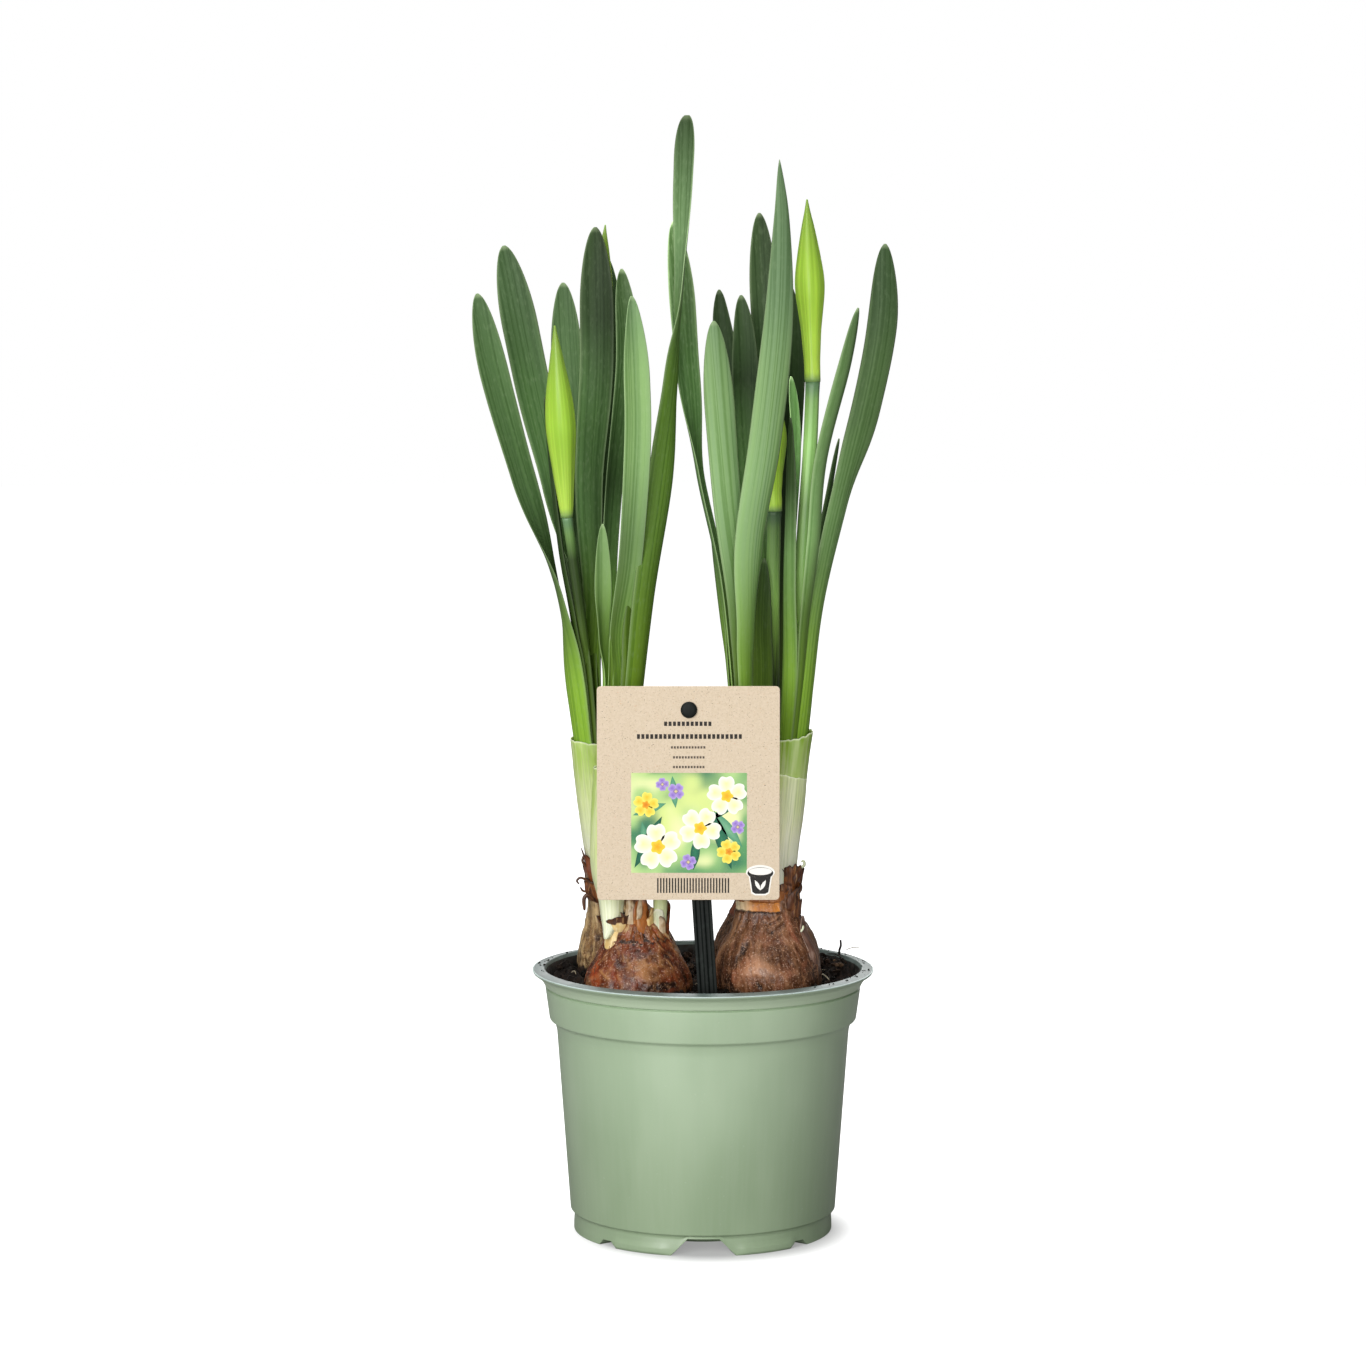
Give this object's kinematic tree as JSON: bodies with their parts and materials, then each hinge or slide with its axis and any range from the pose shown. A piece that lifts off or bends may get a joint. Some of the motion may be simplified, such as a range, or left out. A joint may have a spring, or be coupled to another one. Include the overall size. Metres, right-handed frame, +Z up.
{
  "type": "potted daffodil in bud",
  "caption": "Round plastic nursery pot of peat with forced daffodil bulbs, upright strap leaves, closed buds and a plant label on a stake.",
  "frame": {"origin": "on the pot's axis, in the plane that the pot stands on, at the middle of the pad under its floor", "axes": "+Z up along the pot's axis; looking along +Y shows the side with the card, with +X to the right"},
  "size_m": [0.1474, 0.12, 0.3895],
  "materials": {
    "pot_plastic": "moulded sage green polypropylene with a satin skin",
    "peat": "moist dark peat, crumbly and matt",
    "label_card": "uncoated kraft card with fine brown fibres",
    "stake_plastic": "moulded dark green-black polypropylene",
    "bulb_skin": "dry papery brown bulb skin with a soft gloss",
    "sheath": "thin fresh membrane, pale yellow-green, finely wrinkled",
    "stalk": "smooth fresh stem with fine ribs",
    "bud": "smooth fresh bud skin, bright yellow-green with darker veins",
    "leaf": "smooth waxy fresh leaf with fine lengthwise veins"
  },
  "bodies": {
    "root": {"pot": "pot_plastic", "soil": "peat", "label_card": "label_card", "label_stake": "stake_plastic", "bulb_front_left": "bulb_skin", "bulb_front_right": "bulb_skin", "bulb_back_left": "bulb_skin", "bulb_back_right": "bulb_skin", "sheath_back_left": "sheath", "sheath_front_left": "sheath", "sheath_side": "sheath", "sheath_front_middle": "sheath", "sheath_front_right": "sheath", "sheath_back_right": "sheath", "flower_stalk_1": "stalk", "flower_stalk_2": "stalk", "flower_stalk_3": "stalk", "flower_stalk_4": "stalk", "flower_bud_1": "bud", "flower_bud_2": "bud", "flower_bud_3": "bud", "flower_bud_4": "bud", "leaf_left_1": "leaf", "leaf_left_2": "leaf", "leaf_left_3": "leaf", "leaf_left_4": "leaf", "leaf_left_5": "leaf", "leaf_left_6": "leaf", "leaf_left_7": "leaf", "leaf_left_8": "leaf", "leaf_left_9": "leaf", "leaf_left_10": "leaf", "leaf_left_11": "leaf", "leaf_left_12": "leaf", "leaf_side_1": "leaf", "leaf_side_2": "leaf", "leaf_right_1": "leaf", "leaf_right_2": "leaf", "leaf_right_3": "leaf", "leaf_right_4": "leaf", "leaf_right_5": "leaf", "leaf_right_6": "leaf", "leaf_right_7": "leaf", "leaf_right_8": "leaf", "leaf_right_9": "leaf", "leaf_right_10": "leaf", "leaf_right_11": "leaf", "leaf_right_12": "leaf", "leaf_right_13": "leaf", "leaf_right_14": "leaf"}
  },
  "joints": []
}
